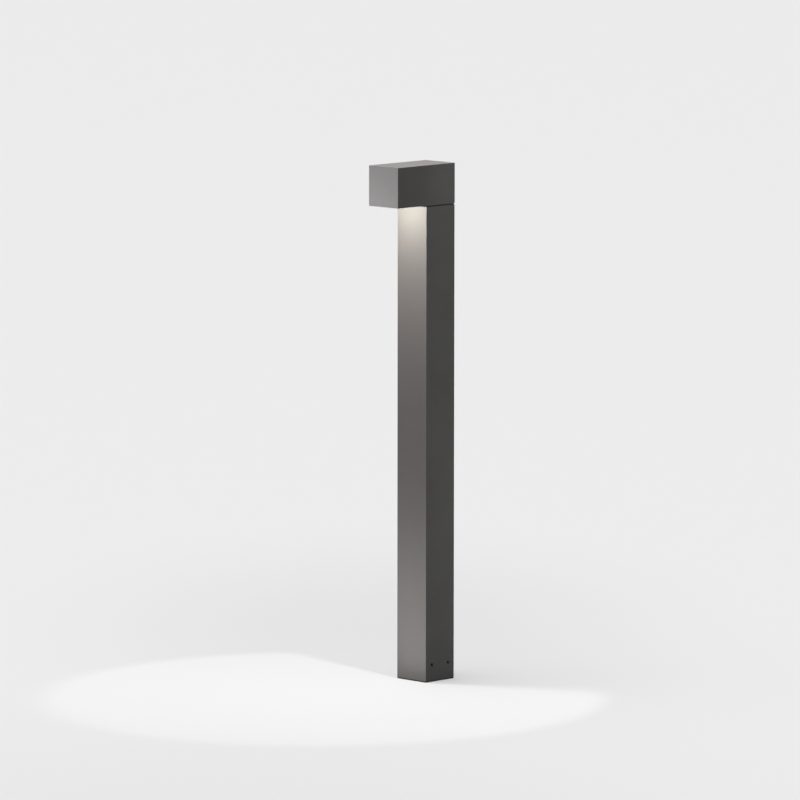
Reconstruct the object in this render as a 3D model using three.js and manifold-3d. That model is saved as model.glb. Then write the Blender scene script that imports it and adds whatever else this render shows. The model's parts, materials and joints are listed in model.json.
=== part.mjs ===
// A cantilever bollard light: a square post on a cast foot, with a box-shaped head that reaches forward
// over the post's front face and shines down. Millimetres, +Z up, the head reaches towards -Y.
// The origin is on the post's axis, on the ground.
import * as THREE from "three";
import { mergeVertices } from "three/addons/utils/BufferGeometryUtils.js";
import Module from "manifold-3d";

const wasm = await Module();
wasm.setup();

// Driving dimensions
const SECTION = 70; // side of the square post, and width and height of the head
const TOTAL_HEIGHT = 900;
const HEAD_LENGTH = 2 * SECTION;
const WALL = 3; // post tube and head casting
const SHADOW_GAP = 2; // the dark lines under the head and at the ground
const FIT = 0.3; // gap kept between pieces that touch
const EDGE = 0.5; // radius of the outer corners

// Levels and planes worked out from them
const HALF = SECTION / 2;
const INNER = HALF - WALL; // half width inside the post and the head
const PLUG = INNER - FIT; // half width of what fills the post or the head
const POST_BOTTOM = SHADOW_GAP;
const HEAD_BOTTOM = TOTAL_HEIGHT - SECTION;
const POST_TOP = HEAD_BOTTOM - SHADOW_GAP;
const HEAD_FRONT = HALF - HEAD_LENGTH;

// Fasteners: thread radii, and the clearance that each hole adds
const M3 = 1.5;
const M4 = 2;
const M5 = 2.5;
const ROUND = 16; // sides of a small round piece
const SMOOTH = 24; // sides of a larger one
const CORNER = 2; // fineness of a rounded corner

// ---------------------------------------------------------------- shapes

/** A closed three.js geometry as a manifold-3d solid. */
function toSolid(geometry) {
  const bare = (geometry.index ? geometry.toNonIndexed() : geometry.clone());
  bare.deleteAttribute("normal");
  bare.deleteAttribute("uv");
  const merged = mergeVertices(bare, 1e-4);
  const corners = merged.index.array;
  const triangles = [];
  for (let i = 0; i < corners.length; i += 3) {
    const [a, b, c] = [corners[i], corners[i + 1], corners[i + 2]];
    if (a !== b && b !== c && c !== a) triangles.push(a, b, c);
  }
  return new wasm.Manifold(new wasm.Mesh({
    numProp: 3,
    vertProperties: merged.attributes.position.array,
    triVerts: new Uint32Array(triangles),
  }));
}

/** A manifold-3d solid as a three.js geometry with flat normals. */
function toGeometry(solid) {
  const mesh = solid.getMesh();
  const geometry = new THREE.BufferGeometry();
  geometry.setAttribute("position", new THREE.BufferAttribute(mesh.vertProperties, 3));
  geometry.setIndex(new THREE.BufferAttribute(mesh.triVerts, 1));
  const flat = geometry.toNonIndexed();
  flat.computeVertexNormals();
  return flat;
}

/** The first geometry with all the others cut out of it. */
function cut(base, ...tools) {
  return toGeometry(tools.reduce((left, tool) => left.subtract(toSolid(tool)), toSolid(base)));
}

/** All the geometries as one. */
function join(first, ...others) {
  return toGeometry(others.reduce((sum, other) => sum.add(toSolid(other)), toSolid(first)));
}

/** A block between two corners. */
function block([x0, y0, z0], [x1, y1, z1]) {
  const shape = new THREE.BoxGeometry(x1 - x0, y1 - y0, z1 - z0);
  return shape.translate((x0 + x1) / 2, (y0 + y1) / 2, (z0 + z1) / 2);
}

/** A block centred on the Z axis, from its half sizes and its two levels. */
function slab(halfX, halfY, z0, z1) {
  return block([-halfX, -halfY, z0], [halfX, halfY, z1]);
}

/** A rectangle with round corners, as a shape in X and Y. */
function roundedRectangle(x0, y0, x1, y1, radius) {
  const shape = new THREE.Shape();
  shape.moveTo(x0 + radius, y0);
  shape.lineTo(x1 - radius, y0);
  shape.absarc(x1 - radius, y0 + radius, radius, -Math.PI / 2, 0);
  shape.lineTo(x1, y1 - radius);
  shape.absarc(x1 - radius, y1 - radius, radius, 0, Math.PI / 2);
  shape.lineTo(x0 + radius, y1);
  shape.absarc(x0 + radius, y1 - radius, radius, Math.PI / 2, Math.PI);
  shape.lineTo(x0, y0 + radius);
  shape.absarc(x0 + radius, y0 + radius, radius, Math.PI, 1.5 * Math.PI);
  return shape;
}

/** An upright prism of a shape between two levels. */
function prism(shape, z0, z1) {
  const options = { depth: z1 - z0, bevelEnabled: false, curveSegments: CORNER };
  return new THREE.ExtrudeGeometry(shape, options).translate(0, 0, z0);
}

/** A panel that faces along Y: a shape in X and Z, between two places on Y. */
function panel(shape, y0, y1) {
  return prism(shape, -y1, -y0).rotateX(Math.PI / 2);
}

/** An upright block with round vertical edges, centred on the Z axis. */
function roundedSlab(half, z0, z1, radius = EDGE) {
  return prism(roundedRectangle(-half, -half, half, half, radius), z0, z1);
}

/** A round solid about the Z axis, from [radius, z] pairs that run up from the axis to the axis. */
function turned(profile, sides = ROUND) {
  const points = profile.map(([radius, z]) => new THREE.Vector2(radius, z));
  return new THREE.LatheGeometry(points, sides).rotateX(Math.PI / 2);
}

/** A round rod along "x", "y" or "z", between two places on that axis, with its centre line at (a, b). */
function rod(axis, radius, from, to, a = 0, b = 0, sides = ROUND) {
  const shape = turned([[0, from], [radius, from], [radius, to], [0, to]], sides);
  if (axis === "x") return shape.rotateY(Math.PI / 2).translate(0, a, b);
  if (axis === "y") return shape.rotateX(-Math.PI / 2).translate(a, 0, b);
  return shape.translate(a, b, 0);
}

/** A six-sided prism about the Z axis, from its size across the flats. */
function hexagon(acrossFlats, z0, z1) {
  const corner = acrossFlats / Math.sqrt(3);
  return turned([[0, z0], [corner, z0], [corner, z1], [0, z1]], 6);
}

/** A solid whose section is a rectangle that changes with height: levels run upwards. */
function rectangularLoft(levels) {
  const positions = levels.flatMap(({ z, x, y0, y1 }) => [-x, y0, z, x, y0, z, x, y1, z, -x, y1, z]);
  const faces = [0, 2, 1, 0, 3, 2];
  for (let level = 0; level < levels.length - 1; level += 1) {
    for (let side = 0; side < 4; side += 1) {
      const a = 4 * level + side;
      const b = 4 * level + ((side + 1) % 4);
      faces.push(a, b, b + 4, a, b + 4, a + 4);
    }
  }
  const top = 4 * (levels.length - 1);
  faces.push(top, top + 1, top + 2, top, top + 2, top + 3);
  const geometry = new THREE.BufferGeometry();
  geometry.setAttribute("position", new THREE.Float32BufferAttribute(positions, 3));
  geometry.setIndex(faces);
  return geometry;
}

/** A round cable along a smooth curve through the points. */
function cable(points, radius, stepLength) {
  const path = new THREE.CatmullRomCurve3(points.map((p) => new THREE.Vector3(...p)));
  const section = new THREE.Shape();
  section.absarc(0, 0, radius, 0, 2 * Math.PI);
  const steps = Math.round(path.getLength() / stepLength);
  return new THREE.ExtrudeGeometry(section, { steps, extrudePath: path, curveSegments: 5 });
}

/** A screw along Z: its head is above z = 0, its shank below, and it has a hexagon socket. */
function capScrew(thread, length, headRadius, headHeight) {
  const body = turned([
    [0, -length], [thread, -length], [thread, 0], [headRadius, 0], [headRadius, headHeight], [0, headHeight],
  ]);
  return cut(body, hexagon(1.6 * thread, headHeight * 0.45, headHeight + 1));
}

/** A countersunk screw along Z, with its flat head's face at z = 0. */
function countersunkScrew(thread, length, headRadius) {
  const cone = headRadius - thread;
  const body = turned([[0, -length], [thread, -length], [thread, -cone], [headRadius, 0], [0, 0]]);
  return cut(body, hexagon(1.3 * thread, -0.6 * thread, 1));
}

/** A headless screw along Z, with its socket end at z = 0. */
function setScrew(thread, length) {
  const chamfer = 0.6;
  const body = turned([
    [0, -length], [thread - chamfer, -length], [thread, chamfer - length], [thread, -chamfer / 2],
    [thread - chamfer / 2, 0], [0, 0],
  ], SMOOTH);
  return cut(body, hexagon(thread, -thread, 1));
}

// ---------------------------------------------------------------- materials and assembly

function finish(color, roughness, metalness, extra = {}) {
  return new THREE.MeshStandardMaterial({ color, roughness, metalness, ...extra });
}

const graphite = finish(0x3d3c3a, 0.55, 0.3);
const darkCasting = finish(0x2b2a29, 0.7, 0.3);
const bareAluminium = finish(0xb4b6b8, 0.45, 0.9);
const sheetSteel = finish(0xb4b6b6, 0.35, 0.9);
const stainless = finish(0x9a9b9c, 0.3, 1);
const blackSteel = finish(0x262523, 0.5, 0.6);
const brightAluminium = finish(0xe6e6e4, 0.08, 1);
const glass = finish(0xe4f0ec, 0.05, 0, { transparent: true, opacity: 0.35 });
const silicone = finish(0x55575a, 0.8, 0);
const blackRubber = finish(0x1c1c1c, 0.75, 0);
const blackPlastic = finish(0x232425, 0.5, 0);
const greyPlastic = finish(0xb9bcbc, 0.5, 0);
const whitePlastic = finish(0xe2e2de, 0.45, 0);
const circuitBoard = finish(0xe8e8e2, 0.4, 0);
const lensPlastic = finish(0xfdf6e3, 0.15, 0, { emissive: 0xffe9c4 });

const bollard = new THREE.Group();
const foot = new THREE.Group();
const post = new THREE.Group();
const head = new THREE.Group();
const optics = new THREE.Group();
head.position.z = HEAD_BOTTOM; // the head is modelled up from its own underside
optics.position.y = -SECTION; // the light unit is centred under the overhang
head.add(optics);
bollard.add(foot, post, head);

/** Adds one named piece to a group. Place is where its own origin goes, and turn its rotation. */
function add(group, name, geometry, material, place = [0, 0, 0], turn = [0, 0, 0]) {
  const mesh = new THREE.Mesh(geometry, material);
  mesh.name = name;
  mesh.position.set(...place);
  mesh.rotation.set(...turn);
  group.add(mesh);
}

// Turns that point a screw's head, which is along +Z in its own frame, another way
const HEAD_DOWN = [Math.PI, 0, 0];
const HEAD_TO_RIGHT = [0, Math.PI / 2, 0];
const HEAD_TO_LEFT = [0, -Math.PI / 2, 0];
const HEAD_TO_REAR = [-Math.PI / 2, 0, 0];
const HEAD_TO_FRONT = [Math.PI / 2, 0, 0];

const SIDES = [["left", -1], ["right", 1]];
const ENDS = [["front", -1], ["rear", 1]];

// ---------------------------------------------------------------- foot

const BASE_FLANGE = HALF - 0.4; // half width of the flange that the post stands on
const BASE_FLOOR = 6;
const BASE_SKIRT_TOP = 16;
const BASE_TOP = 62;
const SPIGOT = { x: HALF - 7.6, y: PLUG - FIT, wall: 5 }; // narrower across, for the nut plates
const ANCHOR = { x: 14, y: 18, radius: 4.3 };
const CABLE_ENTRY = { x: 12, radius: 7 };
const EARTH_Y = -16;
const FOOT_SCREW = { y: 20, z: 30 }; // the two small screw holes low on each side face

// The connection box stands inside the spigot on a bracket
const BOX = { halfX: 24, front: -1, rear: 24.3, bottom: 68, top: 146, wall: 2 };
const BOX_SCREW_Z = 125;
const COVER_SCREW = { x: 19.5, z: 107 };
const GLAND = { x: 12, y: 11, radius: 6 };
const PLUG_Y = 11; // centre line of the supply socket and plug
const SOCKET = { halfX: 11, halfY: 8, bottom: BOX.top + FIT, top: 160 };
const PINS = [-6, 0, 6];
const BRACKET = { halfX: 12, front: BOX.rear + FIT, thickness: 1.5, bottom: 20, top: 140 };
const BRACKET_SCREW = { x: 7, z: 40 };

function mountingBase() {
  const pocket = { x: SPIGOT.x - SPIGOT.wall, y: SPIGOT.y - SPIGOT.wall };
  const outside = join(
    roundedSlab(BASE_FLANGE, 0, POST_BOTTOM - FIT),
    roundedSlab(SPIGOT.y, 0, BASE_SKIRT_TOP, 1),
    slab(SPIGOT.x, SPIGOT.y - 0.8, BASE_SKIRT_TOP - 1, BASE_TOP),
  );
  const body = join(
    cut(outside, slab(pocket.x, pocket.y, BASE_FLOOR, BASE_TOP + 1)),
    rod("z", 4.5, BASE_FLOOR - 1, BASE_FLOOR + 4, 0, EARTH_Y),
  );
  const holes = [rod("z", M4 + FIT, 3, BASE_FLOOR + 5, 0, EARTH_Y)];
  for (const [, side] of SIDES) {
    holes.push(rod("z", CABLE_ENTRY.radius, -1, BASE_FLOOR + 1, side * CABLE_ENTRY.x, 0, SMOOTH));
    holes.push(rod("y", M4 + FIT, pocket.y - 1, HALF, side * BRACKET_SCREW.x, BRACKET_SCREW.z));
    for (const [, end] of ENDS) {
      holes.push(rod("z", ANCHOR.radius, -1, BASE_FLOOR + 1, side * ANCHOR.x, end * ANCHOR.y));
    }
  }
  return cut(body, ...holes);
}

function cableBush() {
  const body = CABLE_ENTRY.radius - FIT;
  const lip = CABLE_ENTRY.radius + 2;
  const bore = 4.5;
  const shape = turned([
    [0, 0.4], [body, 0.4], [body, BASE_FLOOR + FIT], [lip, BASE_FLOOR + FIT], [lip, BASE_FLOOR + 1.8],
    [body, BASE_FLOOR + 3.2], [0, BASE_FLOOR + 3.2],
  ], SMOOTH);
  return cut(shape, rod("z", bore, -1, BASE_FLOOR + 5, 0, 0, SMOOTH));
}

function earthScrew() {
  const washer = rod("z", 5.4, 0, 1);
  return join(capScrew(M4, 6, 3.5, 3.6), washer);
}

function boxBracket() {
  const { halfX, front, thickness, bottom, top } = BRACKET;
  const strip = block([-halfX, front, bottom], [halfX, front + thickness, top]);
  const holes = SIDES.map(([, side]) =>
    rod("y", M4 + FIT, front - 1, front + 3, side * BRACKET_SCREW.x, BRACKET_SCREW.z));
  return cut(strip, ...holes, rod("y", M4 + FIT, front - 1, front + 3, 0, BOX_SCREW_Z));
}

function connectionBoxTray() {
  const { halfX, front, rear, bottom, top, wall } = BOX;
  const shell = cut(
    block([-halfX, front, bottom], [halfX, rear, top]),
    block([wall - halfX, front - 1, bottom + wall], [halfX - wall, rear - wall, top - wall]),
  );
  const bosses = SIDES.map(([, side]) => {
    const near = side * (COVER_SCREW.x - 3);
    const far = side * (halfX - 1);
    return block([Math.min(near, far), front, COVER_SCREW.z - 4],
      [Math.max(near, far), rear - 1, COVER_SCREW.z + 4]);
  });
  const holes = SIDES.flatMap(([, side]) => [
    rod("y", M3 + FIT, front - 1, front + 14, side * COVER_SCREW.x, COVER_SCREW.z),
    rod("z", GLAND.radius + FIT, bottom - 1, bottom + wall + 1, side * GLAND.x, GLAND.y),
  ]);
  const wires = rod("z", 4, top - wall - 1, top + 1, 0, PLUG_Y);
  const fixing = rod("y", M4 + FIT, rear - wall - 1, rear + 1, 0, BOX_SCREW_Z);
  return cut(join(shell, ...bosses), ...holes, wires, fixing);
}

const COVER_FRONT = BOX.front - 5;

function connectionBoxCover() {
  const { halfX, front, bottom, top, wall } = BOX;
  const lid = cut(
    panel(roundedRectangle(-halfX, bottom, halfX, top, 3), COVER_FRONT, front - FIT),
    panel(roundedRectangle(wall - halfX, bottom + wall, halfX - wall, top - wall, 2),
      COVER_FRONT + wall, front + 1),
  );
  const bosses = SIDES.map(([, side]) =>
    rod("y", 3.5, COVER_FRONT + 1, front - FIT, side * COVER_SCREW.x, COVER_SCREW.z));
  const holes = SIDES.map(([, side]) =>
    rod("y", M3 + FIT, COVER_FRONT - 1, front + 1, side * COVER_SCREW.x, COVER_SCREW.z));
  return cut(join(lid, ...bosses), ...holes);
}

function cableGland() {
  const nut = hexagon(14, -8, -FIT);
  const thread = rod("z", GLAND.radius, -1, 6);
  const dome = turned([[0, -18], [5.6, -18], [7.2, -15], [7.2, -7], [0, -7]]);
  return cut(join(nut, thread, dome), rod("z", 4, -20, 8));
}

function terminalBlock() {
  const pole = 6;
  const poles = 5;
  const half = (pole * poles) / 2;
  const bottom = 84;
  const body = block([-half, 8, bottom], [half, BOX.rear - BOX.wall - FIT, bottom + 16]);
  const holes = [];
  for (let i = 0; i < poles; i += 1) {
    const x = (i + 0.5) * pole - half;
    holes.push(rod("z", 1.8, bottom - 1, bottom + 17, x, 16, 8));
    holes.push(rod("y", 1.9, 7, 11, x, bottom + 4, 10));
    holes.push(rod("y", 1.9, 7, 11, x, bottom + 12, 10));
  }
  return cut(body, ...holes);
}

/** The outline that the supply socket and its plug share. */
function plugOutline() {
  const { halfX, halfY } = SOCKET;
  return roundedRectangle(-halfX, PLUG_Y - halfY, halfX, PLUG_Y + halfY, 2);
}

function supplySocket() {
  const { bottom, top } = SOCKET;
  const body = prism(plugOutline(), bottom, top);
  const holes = PINS.map((x) => rod("z", 1.6, top - 9.5, top + 1, x, PLUG_Y));
  return cut(body, ...holes);
}

function buildFoot() {
  add(foot, "mounting_base", mountingBase(), darkCasting);
  for (const [name, side] of SIDES) {
    add(foot, `cable_bush_${name}`, cableBush(), blackRubber, [side * CABLE_ENTRY.x, 0, 0]);
    add(foot, `bracket_screw_${name}`, capScrew(M4, 6.4, 3.5, 2.2), stainless,
      [side * BRACKET_SCREW.x, BRACKET.front - FIT, BRACKET_SCREW.z], HEAD_TO_FRONT);
    add(foot, `cover_screw_${name}`, capScrew(M3, 12, 2.7, 1.8), stainless,
      [side * COVER_SCREW.x, COVER_FRONT - FIT, COVER_SCREW.z], HEAD_TO_FRONT);
    add(foot, `cable_gland_${name}`, cableGland(), blackPlastic, [side * GLAND.x, GLAND.y, BOX.bottom]);
  }
  add(foot, "earth_screw", earthScrew(), stainless, [0, EARTH_Y, BASE_FLOOR + 4 + FIT]);
  add(foot, "box_bracket", boxBracket(), sheetSteel);
  add(foot, "box_screw", capScrew(M4, 5.5, 3.5, 2.2), stainless,
    [0, BOX.rear - BOX.wall - FIT, BOX_SCREW_Z], HEAD_TO_FRONT);
  add(foot, "connection_box_tray", connectionBoxTray(), greyPlastic);
  add(foot, "connection_box_cover", connectionBoxCover(), greyPlastic);
  add(foot, "terminal_block", terminalBlock(), whitePlastic);
  add(foot, "supply_socket", supplySocket(), blackPlastic);
}

// ---------------------------------------------------------------- post

const NUT_PLATE = { inner: SPIGOT.x + 2 * FIT, halfY: 27, bottom: 20, top: 40 };
const SET_SCREW_RECESS = 1; // how far a set screw's face lies under the surface
const NECK = {
  flange: HALF - 0.7, bottom: POST_TOP - 28, plate: 822, top: HEAD_BOTTOM - FIT, pocket: 26, cableHole: 9,
};
const NECK_SCREW = { x: 20, z: 814 };
const HEAD_SCREW = 20; // the four head screws' distance from the post's axis, both ways
const TRAY = { halfX: 22, front: FIT - NECK.pocket, thickness: 1.5, lip: 6, bottom: 580, top: 812 };
const TRAY_REAR = TRAY.front + TRAY.thickness;
const TRAY_SCREW = { x: 14, z: 805 };
const DRIVER = { halfX: 19.5, front: TRAY_REAR + FIT, rear: 4, bottom: 604, top: 756, ear: 11 };
const LEAD_Y = (DRIVER.front + DRIVER.rear) / 2; // where both leads leave the driver
const SUPPLY_PLUG_TOP = 184;
const PLUG_RELIEF = 8; // height of the tapered collar that the lead enters

function postTube() {
  const outline = roundedRectangle(-HALF, -HALF, HALF, HALF, EDGE);
  outline.holes.push(roundedRectangle(-INNER, -INNER, INNER, INNER, EDGE / 2));
  const holes = SIDES.flatMap(([, side]) => [
    rod("y", M5 + FIT, INNER - 1, HALF + 1, side * NECK_SCREW.x, NECK_SCREW.z, SMOOTH),
    ...ENDS.map(([, end]) => {
      const hole = rod("x", M5 + FIT, INNER - 1, HALF + 1, end * FOOT_SCREW.y, FOOT_SCREW.z, SMOOTH);
      return side < 0 ? hole.rotateZ(Math.PI) : hole;
    }),
  ]);
  return cut(prism(outline, POST_BOTTOM, POST_TOP), ...holes);
}

function nutPlate() {
  const { inner, halfY, bottom, top } = NUT_PLATE;
  const holes = ENDS.map(([, end]) =>
    rod("x", M5 + FIT, inner - 1, INNER, end * FOOT_SCREW.y, FOOT_SCREW.z));
  return cut(block([inner, -halfY, bottom], [PLUG, halfY, top]), ...holes);
}

function neckAdapter() {
  const body = cut(
    join(roundedSlab(PLUG, NECK.bottom, NECK.top, 1), roundedSlab(NECK.flange, POST_TOP + FIT, NECK.top)),
    slab(NECK.pocket, NECK.pocket, NECK.bottom - 1, NECK.plate),
    rod("z", NECK.cableHole, NECK.plate - 1, NECK.top + 1, 0, 0, SMOOTH),
  );
  const holes = SIDES.flatMap(([, side]) => [
    rod("y", M5 + FIT, NECK.pocket - 1, HALF, side * NECK_SCREW.x, NECK_SCREW.z),
    rod("y", M4 + FIT, -HALF, 1 - NECK.pocket, side * TRAY_SCREW.x, TRAY_SCREW.z),
    ...ENDS.map(([, end]) =>
      rod("z", M5 + FIT, NECK.plate - 1, NECK.top + 1, side * HEAD_SCREW, end * HEAD_SCREW)),
  ]);
  return cut(body, ...holes);
}

function gearTray() {
  const { halfX, front, thickness, lip, bottom, top } = TRAY;
  const channel = cut(
    block([-halfX, front, bottom], [halfX, front + lip, top]),
    block([thickness - halfX, TRAY_REAR, bottom - 1], [halfX - thickness, front + lip + 1, top + 1]),
  );
  const holes = SIDES.map(([, side]) =>
    rod("y", M4 + FIT, front - 1, TRAY_REAR + 1, side * TRAY_SCREW.x, TRAY_SCREW.z));
  for (const z of driverScrewLevels()) holes.push(rod("y", M3 + FIT, front - 1, TRAY_REAR + 1, 0, z));
  return cut(channel, ...holes);
}

function driverScrewLevels() {
  return [DRIVER.bottom - DRIVER.ear / 2, DRIVER.top + DRIVER.ear / 2];
}

function ledDriver() {
  const { halfX, front, rear, bottom, top, ear } = DRIVER;
  const case_ = block([-halfX, front, bottom], [halfX, rear, top]);
  const ears = block([-9, front, bottom - ear], [9, front + 2.5, top + ear]);
  const holes = driverScrewLevels().map((z) => rod("y", M3 + FIT, front - 1, front + 4, 0, z));
  return cut(join(case_, ears), ...holes);
}

function supplyLead() {
  const top = DRIVER.bottom - FIT;
  const bottom = SUPPLY_PLUG_TOP + PLUG_RELIEF + FIT;
  // A slack bend lets the plug reach its socket while the post is held just above the foot.
  return cable([
    [0, LEAD_Y, top], [0, LEAD_Y, top - 30], [0, -4, top - 100], [0, 14, top - 190], [0, 18, top - 260],
    [0, 13, bottom + 60], [0, PLUG_Y, bottom + 20], [0, PLUG_Y, bottom],
  ], 3.5, 14);
}

function supplyPlug() {
  const { top } = SOCKET;
  const body = prism(plugOutline(), top + FIT, SUPPLY_PLUG_TOP);
  const relief = turned([[0, -1], [6.5, -1], [4.5, PLUG_RELIEF], [0, PLUG_RELIEF]])
    .translate(0, PLUG_Y, SUPPLY_PLUG_TOP);
  const pins = PINS.map((x) => rod("z", 1.2, top - 8, top + 1, x, PLUG_Y));
  return join(body, relief, ...pins);
}

function buildPost() {
  add(post, "post_tube", postTube(), graphite);
  for (const [name, side] of SIDES) {
    const turn = side > 0 ? [0, 0, 0] : [0, 0, Math.PI];
    add(post, `nut_plate_${name}`, nutPlate(), sheetSteel, [0, 0, 0], turn);
    for (const [endName, end] of ENDS) {
      add(post, `foot_set_screw_${name}_${endName}`, setScrew(M5, 6.2), blackSteel,
        [side * (HALF - SET_SCREW_RECESS), end * FOOT_SCREW.y, FOOT_SCREW.z],
        side > 0 ? HEAD_TO_RIGHT : HEAD_TO_LEFT);
    }
    add(post, `neck_set_screw_${name}`, setScrew(M5, 7.3), blackSteel,
      [side * NECK_SCREW.x, HALF - SET_SCREW_RECESS, NECK_SCREW.z], HEAD_TO_REAR);
    add(post, `tray_screw_${name}`, capScrew(M4, 6.5, 3.5, 2.2), stainless,
      [side * TRAY_SCREW.x, TRAY_REAR + FIT, TRAY_SCREW.z], HEAD_TO_REAR);
  }
  add(post, "neck_adapter", neckAdapter(), darkCasting);
  add(post, "gear_tray", gearTray(), sheetSteel);
  add(post, "led_driver", ledDriver(), whitePlastic);
  const [low, high] = driverScrewLevels();
  for (const [name, z] of [["lower", low], ["upper", high]]) {
    add(post, `driver_screw_${name}`, capScrew(M3, 6, 2.7, 1.8), stainless,
      [0, DRIVER.front + 2.5 + FIT, z], HEAD_TO_REAR);
  }
  add(post, "supply_lead", supplyLead(), blackRubber);
  add(post, "supply_plug", supplyPlug(), blackPlastic);
}

// ---------------------------------------------------------------- head, up from its underside

const ROOF = SECTION - WALL; // inside of the head's top
const CHAMBER_REAR = -HALF - WALL; // the light chamber ends at a bulkhead above the post's front face
const LEDGE = { bottom: 11, top: 13.5 }; // inner rim that the glass is pressed against
const WINDOW = { x: 26.5, y: 20.5 }; // half sizes of the light opening
const GLASS = { x: 29.1, y: 23.1, bottom: 3.9, top: 7.9 };
const FRAME = { bottom: 1, pocket: 3.6, top: 8.5 };
const FRAME_SCREW = { x: 26, y: 28 };
const LED = { y: 13, boardBottom: 48.6, boardTop: 50.2 }; // the LEDs sit behind the window's centre
const BOARD_SCREW_X = 23.5;
const SPREADER = { halfX: 28, front: -28, rear: 24, bottom: 50.5, top: 55.5, pillarX: 16 };
const SPREADER_SCREW = { x: 23, y: -14 };
const PAD = { bottom: 65.2, top: ROOF - FIT };
const LED_LEAD = 2; // radius
const LEAD_Z = 45; // level at which the LED lead passes the bulkhead
const BULKHEAD_HOLE = 4.5;
const FLOOR_HOLE = 8;

/** The opening that the ledge and the gasket leave: a little wider than the frame's. */
function windowOutline() {
  const x = WINDOW.x + 0.5;
  const y = WINDOW.y + 0.5;
  return roundedRectangle(-x, -y, x, y, 1);
}

/** The head's box with every outer edge rounded off a little. */
function headOutside() {
  const bevel = 0.4;
  const outline = roundedRectangle(-HALF, HEAD_FRONT, HALF, HALF, EDGE);
  return new THREE.ExtrudeGeometry(outline, {
    depth: SECTION - 2 * bevel,
    curveSegments: CORNER,
    bevelThickness: bevel,
    bevelSize: bevel,
    bevelOffset: -bevel,
    bevelSegments: 2,
  }).translate(0, 0, bevel);
}

function headHousing() {
  const shell = cut(
    headOutside(),
    block([-INNER, HEAD_FRONT + WALL, -1], [INNER, CHAMBER_REAR, ROOF]),
    block([-INNER, -HALF, WALL], [INNER, INNER, ROOF]),
  );
  const centre = -SECTION;
  const ledge = cut(
    block([-INNER - 1, HEAD_FRONT + 1, LEDGE.bottom], [INNER + 1, CHAMBER_REAR + 1, LEDGE.top]),
    prism(windowOutline(), 0, 20).translate(0, centre, 0),
  );
  const bosses = [];
  const holes = [
    rod("z", FLOOR_HOLE, -1, WALL + 1, 0, 0, SMOOTH),
    rod("y", BULKHEAD_HOLE, CHAMBER_REAR - 1, 1 - HALF, 0, LEAD_Z),
  ];
  for (const [, side] of SIDES) {
    const spreaderScrew = [side * SPREADER_SCREW.x, centre + SPREADER_SCREW.y];
    bosses.push(rod("z", 4.5, SPREADER.top + FIT, ROOF + 1, ...spreaderScrew));
    holes.push(rod("z", M4 + FIT, SPREADER.top, ROOF - 2, ...spreaderScrew));
    for (const [, end] of ENDS) {
      const inside = side * (FRAME_SCREW.x - 4.5);
      const outside = side * (INNER + 1);
      const near = centre + end * (FRAME_SCREW.y - 3.2);
      const far = centre + end * (INNER + 1);
      bosses.push(block([Math.min(inside, outside), Math.min(near, far), FRAME.top + FIT],
        [Math.max(inside, outside), Math.max(near, far), 22]));
      bosses.push(rod("z", 5, WALL - 1, 16, side * HEAD_SCREW, end * HEAD_SCREW));
      holes.push(rod("z", M4 + FIT, FRAME.top, 19, side * FRAME_SCREW.x, centre + end * FRAME_SCREW.y));
      holes.push(rod("z", M5 + FIT, -1, 14, side * HEAD_SCREW, end * HEAD_SCREW));
    }
  }
  return cut(join(shell, ledge, ...bosses), ...holes);
}

function glassFrame() {
  const heads = SIDES.flatMap(([, side]) => ENDS.map(([, end]) => {
    const { x, y } = FRAME_SCREW;
    return turned([
      [0, 0], [4.2, 0], [4.2, FRAME.bottom], [M4 + FIT, FRAME.bottom + 1.9], [M4 + FIT, FRAME.top + 1],
      [0, FRAME.top + 1],
    ]).translate(side * x, end * y, 0);
  }));
  return cut(
    roundedSlab(PLUG, FRAME.bottom, FRAME.top, 1),
    slab(WINDOW.x, WINDOW.y, 0, FRAME.top + 1),
    slab(GLASS.x + FIT, GLASS.y + FIT, FRAME.pocket, FRAME.top + 1),
    ...heads,
  );
}

function safetyGlass() {
  const { x, y, bottom, top } = GLASS;
  return prism(roundedRectangle(-x, -y, x, y, 2), bottom, top);
}

function glassGasket() {
  const outline = roundedRectangle(-GLASS.x, -GLASS.y, GLASS.x, GLASS.y, 2);
  outline.holes.push(windowOutline());
  return prism(outline, GLASS.top + FIT, LEDGE.bottom - FIT);
}

/** The reflector's inside: narrow round the LEDs at its top, and sweeping forward to the whole window. */
function reflectorLevels(grow) {
  const top = LED.boardBottom - 2.1;
  const bottom = LEDGE.top + FIT;
  const throat = { x: 16.5, y: 8 };
  const steps = 6;
  const levels = [];
  for (let i = 0; i <= steps; i += 1) {
    const t = i / steps;
    const open = 1 - t ** 1.6; // opens quickly below the LEDs, then runs down steeply
    levels.push({
      z: bottom + t * (top - bottom),
      x: throat.x + open * (WINDOW.x - throat.x) + grow,
      y0: (1 - open) * (LED.y - throat.y) - open * WINDOW.y - grow,
      y1: (1 - open) * (LED.y + throat.y) + open * WINDOW.y + grow,
    });
  }
  return levels;
}

function reflector() {
  const skin = 1.1;
  const inside = reflectorLevels(0);
  const first = inside[0];
  const last = inside[inside.length - 1];
  const cutter = [{ ...first, z: first.z - 1 }, ...inside, { ...last, z: last.z + 1 }];
  const flange = slab(GLASS.x, GLASS.y, first.z, first.z + 1);
  return cut(join(rectangularLoft(reflectorLevels(skin)), flange), rectangularLoft(cutter));
}

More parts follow.
